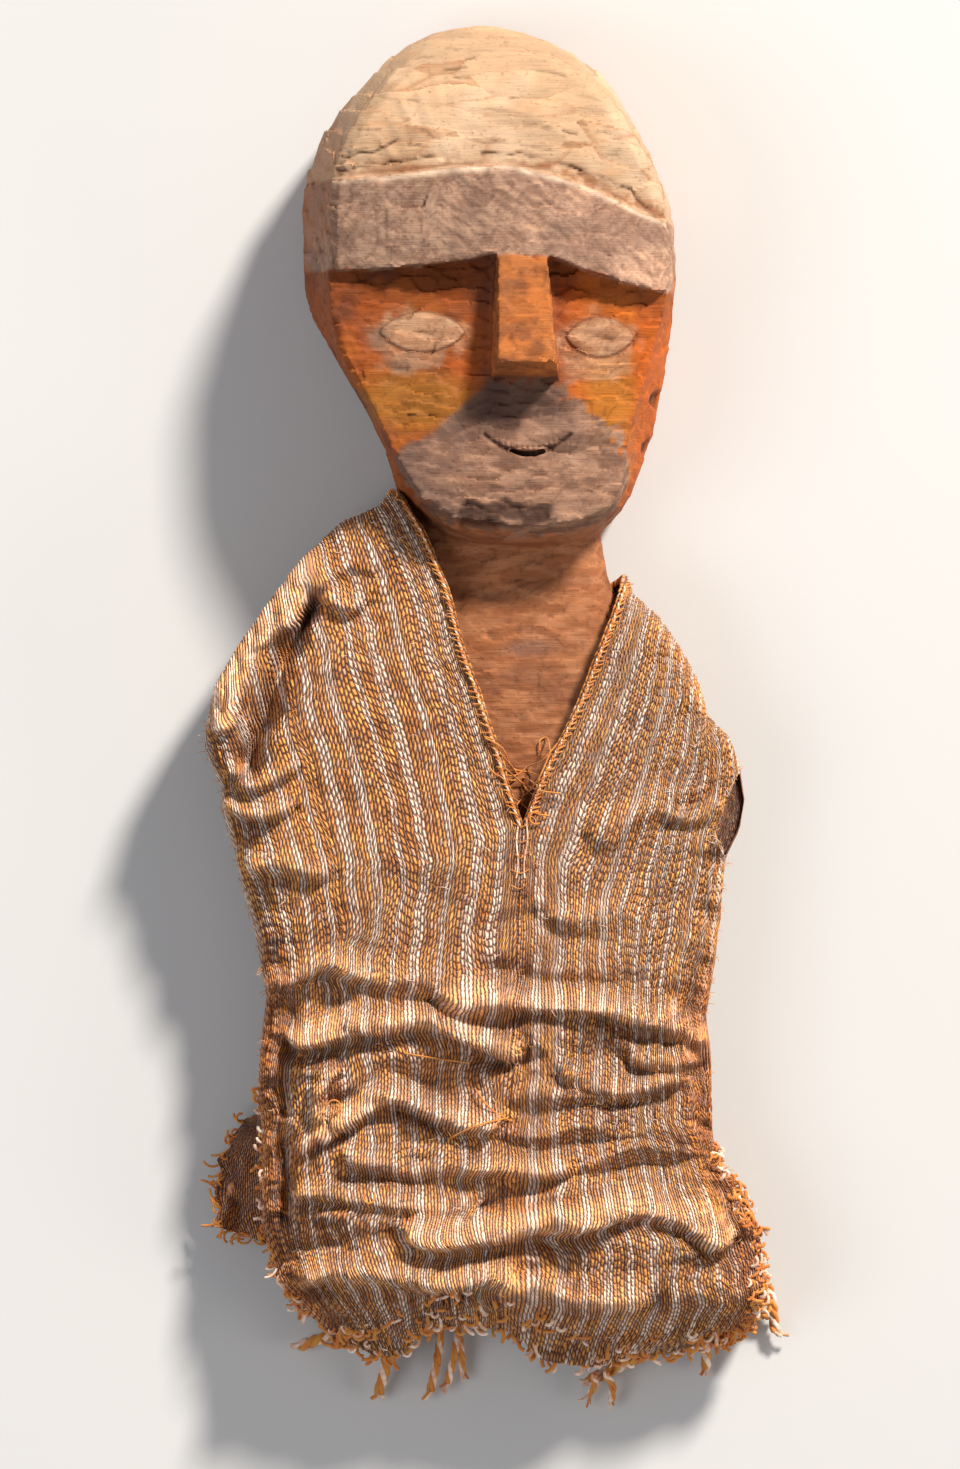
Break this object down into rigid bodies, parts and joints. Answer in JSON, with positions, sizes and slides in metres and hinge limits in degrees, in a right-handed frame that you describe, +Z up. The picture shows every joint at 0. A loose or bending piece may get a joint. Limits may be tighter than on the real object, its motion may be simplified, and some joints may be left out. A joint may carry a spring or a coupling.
{
  "type": "funerary figure",
  "caption": "Carved wooden figure with a flat painted face and a board body, dressed in a coarse striped cotton tunic with folds and a fringed hem, lying on its back.",
  "frame": {"origin": "on the surface that the figure lies on, below the middle of its bounding box", "axes": "+Y from the feet end to the crown, +Z up out of the face, +X to the right of a viewer who looks down on the face with the crown up"},
  "size_m": [0.229, 0.5528, 0.101],
  "materials": {
    "carved_wood": "dry adze-cut wood with thin worn earth paint",
    "striped_cotton": "coarse matt handspun cotton, golden brown with white stripes"
  },
  "bodies": {
    "root": {"wooden_figure": "carved_wood", "left_panel": "striped_cotton", "right_panel": "striped_cotton"}
  },
  "joints": []
}
